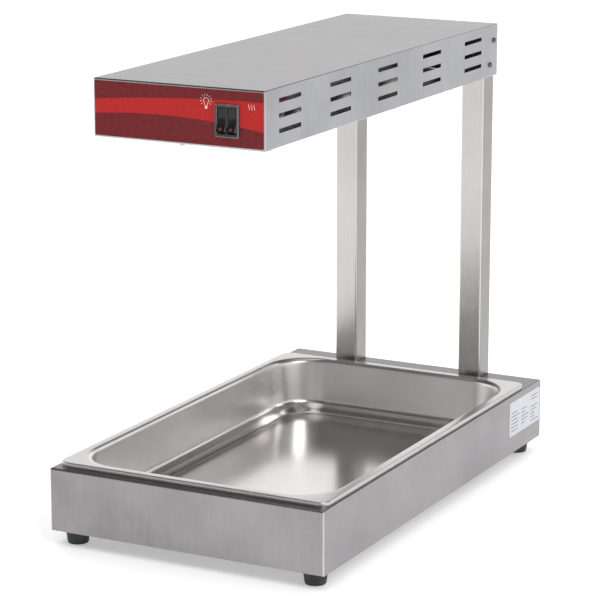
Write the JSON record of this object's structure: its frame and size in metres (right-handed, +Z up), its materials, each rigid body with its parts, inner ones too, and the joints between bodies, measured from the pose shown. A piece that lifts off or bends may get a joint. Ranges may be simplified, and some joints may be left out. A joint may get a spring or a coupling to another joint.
{
  "type": "heat lamp food warmer",
  "caption": "Countertop food warmer: a folded-steel base with a lift-out food pan under a vented overhead heat and light hood on rear posts.",
  "frame": {"origin": "on the surface the feet stand on, under the middle of the whole object", "axes": "+Z up; the front with the switch faces -Y; +X is the right-hand side seen from the front; +Y is the longest extent, front to back"},
  "size_m": [0.3324, 0.5951, 0.516],
  "materials": {
    "brushed_steel": "brushed stainless sheet",
    "polished_steel": "satin drawn stainless",
    "bright_aluminium": "bright rolled sheet",
    "black_rubber": "matt moulded",
    "black_plastic": "satin moulded",
    "grey_plastic": "satin moulded",
    "red_lens": "glossy translucent",
    "maroon_decal": "printed film",
    "white_plate": "printed film",
    "white_ceramic": "unglazed steatite",
    "heater_sheath": "oxidised sheath",
    "frosted_glass": "frosted",
    "zinc_screw": "zinc plated",
    "red_insulation": "smooth sleeve",
    "white_insulation": "smooth sleeve",
    "grey_silicone": "matt sleeve"
  },
  "bodies": {
    "warmer": {"base_bottom": "brushed_steel", "base_cover": "brushed_steel", "base_terminal_block": "white_ceramic", "cord_gland": "black_plastic", "foot_front_left": "black_rubber", "foot_front_right": "black_rubber", "foot_rear_left": "black_rubber", "foot_rear_right": "black_rubber", "foot_screw_front_left": "zinc_screw", "foot_screw_front_right": "zinc_screw", "foot_screw_rear_left": "zinc_screw", "foot_screw_rear_right": "zinc_screw", "front_decal": "maroon_decal", "head_cover": "brushed_steel", "head_lower_plate": "brushed_steel", "head_rear_panel": "brushed_steel", "head_rear_screw_left": "zinc_screw", "head_rear_screw_right": "zinc_screw", "head_terminal_block": "white_ceramic", "heater_clip_front": "brushed_steel", "heater_clip_rear": "brushed_steel", "heater_rod": "heater_sheath", "lamp_front": "frosted_glass", "lamp_holder_front": "white_ceramic", "lamp_holder_rear": "white_ceramic", "lamp_rear": "frosted_glass", "plate_screw_front": "zinc_screw", "plate_screw_left_1": "zinc_screw", "plate_screw_left_2": "zinc_screw", "plate_screw_left_3": "zinc_screw", "plate_screw_left_4": "zinc_screw", "plate_screw_right_1": "zinc_screw", "plate_screw_right_2": "zinc_screw", "plate_screw_right_3": "zinc_screw", "plate_screw_right_4": "zinc_screw", "post_left": "brushed_steel", "post_right": "brushed_steel", "post_screw_left_lower": "zinc_screw", "post_screw_left_upper": "zinc_screw", "post_screw_right_lower": "zinc_screw", "post_screw_right_upper": "zinc_screw", "rating_plate": "white_plate", "reflector": "bright_aluminium", "side_screw_left_lower": "zinc_screw", "side_screw_left_upper": "zinc_screw", "side_screw_right_lower": "zinc_screw", "side_screw_right_upper": "zinc_screw", "supply_lead": "grey_silicone", "switch_housing": "grey_plastic", "wire_guard": "zinc_screw", "wire_red": "red_insulation", "wire_white": "white_insulation"},
    "pan": {"food_pan": "polished_steel"},
    "rocker_light_body": {"rocker_light": "black_plastic", "lens_light": "red_lens"},
    "rocker_heat_body": {"rocker_heat": "black_plastic", "lens_heat": "red_lens"}
  },
  "joints": [
    {"name": "pan_lift", "type": "slide", "parent": "warmer", "child": "pan", "axis": [0, 0, 1], "range_m": [0, 0.09]},
    {"name": "rocker_light_tilt", "type": "hinge", "parent": "warmer", "child": "rocker_light_body", "pos_m": [0.0514, -0.2897, 0.4829], "axis": [1, 0, 0], "range_deg": [0, 16]},
    {"name": "rocker_heat_tilt", "type": "hinge", "parent": "warmer", "child": "rocker_heat_body", "pos_m": [0.0632, -0.2897, 0.4829], "axis": [1, 0, 0], "range_deg": [0, 16]}
  ]
}
